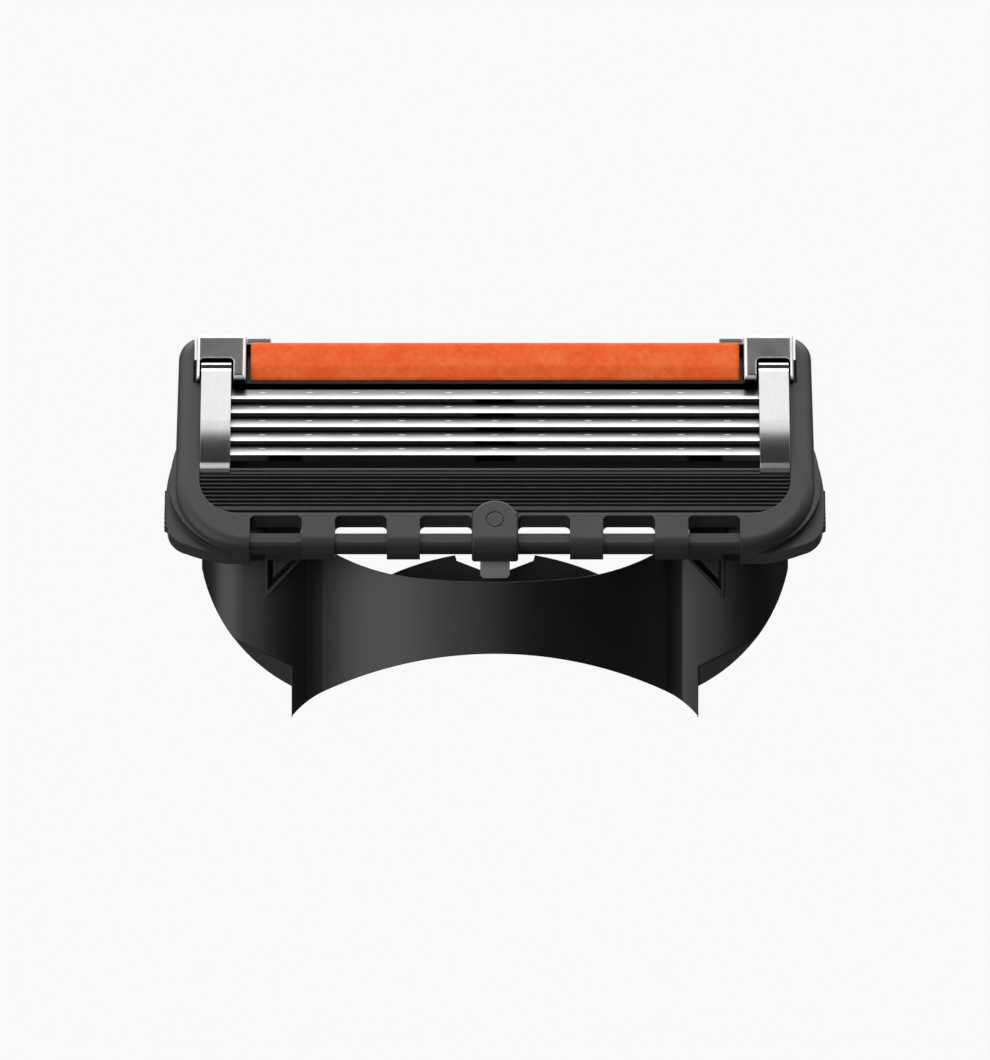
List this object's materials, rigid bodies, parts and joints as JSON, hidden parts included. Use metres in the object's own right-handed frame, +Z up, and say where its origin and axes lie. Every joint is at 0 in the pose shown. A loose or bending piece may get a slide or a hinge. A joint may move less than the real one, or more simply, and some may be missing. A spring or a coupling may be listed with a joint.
{
  "type": "razor cartridge",
  "caption": "Pivoting wet-shaving razor cartridge: floating blades under metal clips, orange lubricating strip, ribbed guard and a push-fit connector.",
  "frame": {"origin": "middle of the handle socket's mouth, at the height of the connector's tips", "axes": "+X along the blades, +Y from the shaving side to the back, +Z up the handle's axis towards the head"},
  "size_m": [0.0426, 0.0114, 0.0247],
  "materials": {
    "connector_plastic": "glossy black moulding",
    "housing_plastic": "satin dark grey moulding",
    "fin_elastomer": "ribbed elastomer",
    "rim_elastomer": "soft matt elastomer",
    "pad_elastomer": "soft grey elastomer",
    "metallised_plastic": "satin metallised plastic",
    "strip_polymer": "mottled water-soluble polymer",
    "blade_steel": "coated and honed steel",
    "support_steel": "bent stainless strip",
    "clip_metal": "satin rolled aluminium"
  },
  "bodies": {
    "connector": {"connector": "connector_plastic"},
    "head": {"housing": "housing_plastic", "return_pad": "pad_elastomer", "guard_fins": "fin_elastomer", "frame_overmould": "rim_elastomer", "cap_carrier": "metallised_plastic", "lubricating_strip": "strip_polymer", "trimmer_blade": "blade_steel", "trimmer_cover": "housing_plastic", "clip_left": "clip_metal", "clip_right": "clip_metal"},
    "blade_unit_1": {"blade_1": "blade_steel", "blade_support_1": "support_steel"},
    "blade_unit_2": {"blade_2": "blade_steel", "blade_support_2": "support_steel"},
    "blade_unit_3": {"blade_3": "blade_steel", "blade_support_3": "support_steel"},
    "blade_unit_4": {"blade_4": "blade_steel", "blade_support_4": "support_steel"},
    "blade_unit_5": {"blade_5": "blade_steel", "blade_support_5": "support_steel"}
  },
  "joints": [
    {"name": "head_pivot", "type": "hinge", "parent": "connector", "child": "head", "pos_m": [0, -0.00463, 0.01457], "axis": [-1, 0, 0], "range_deg": [0, 40]},
    {"name": "blade_1_float", "type": "slide", "parent": "head", "child": "blade_unit_1", "axis": [0, 0.866, -0.5], "range_m": [0, 0.00025], "stiffness_N_per_m": 200},
    {"name": "blade_2_float", "type": "slide", "parent": "head", "child": "blade_unit_2", "axis": [0, 0.866, -0.5], "range_m": [0, 0.00025], "stiffness_N_per_m": 200},
    {"name": "blade_3_float", "type": "slide", "parent": "head", "child": "blade_unit_3", "axis": [0, 0.866, -0.5], "range_m": [0, 0.00025], "stiffness_N_per_m": 200},
    {"name": "blade_4_float", "type": "slide", "parent": "head", "child": "blade_unit_4", "axis": [0, 0.866, -0.5], "range_m": [0, 0.00025], "stiffness_N_per_m": 200},
    {"name": "blade_5_float", "type": "slide", "parent": "head", "child": "blade_unit_5", "axis": [0, 0.866, -0.5], "range_m": [0, 0.00025], "stiffness_N_per_m": 200}
  ]
}
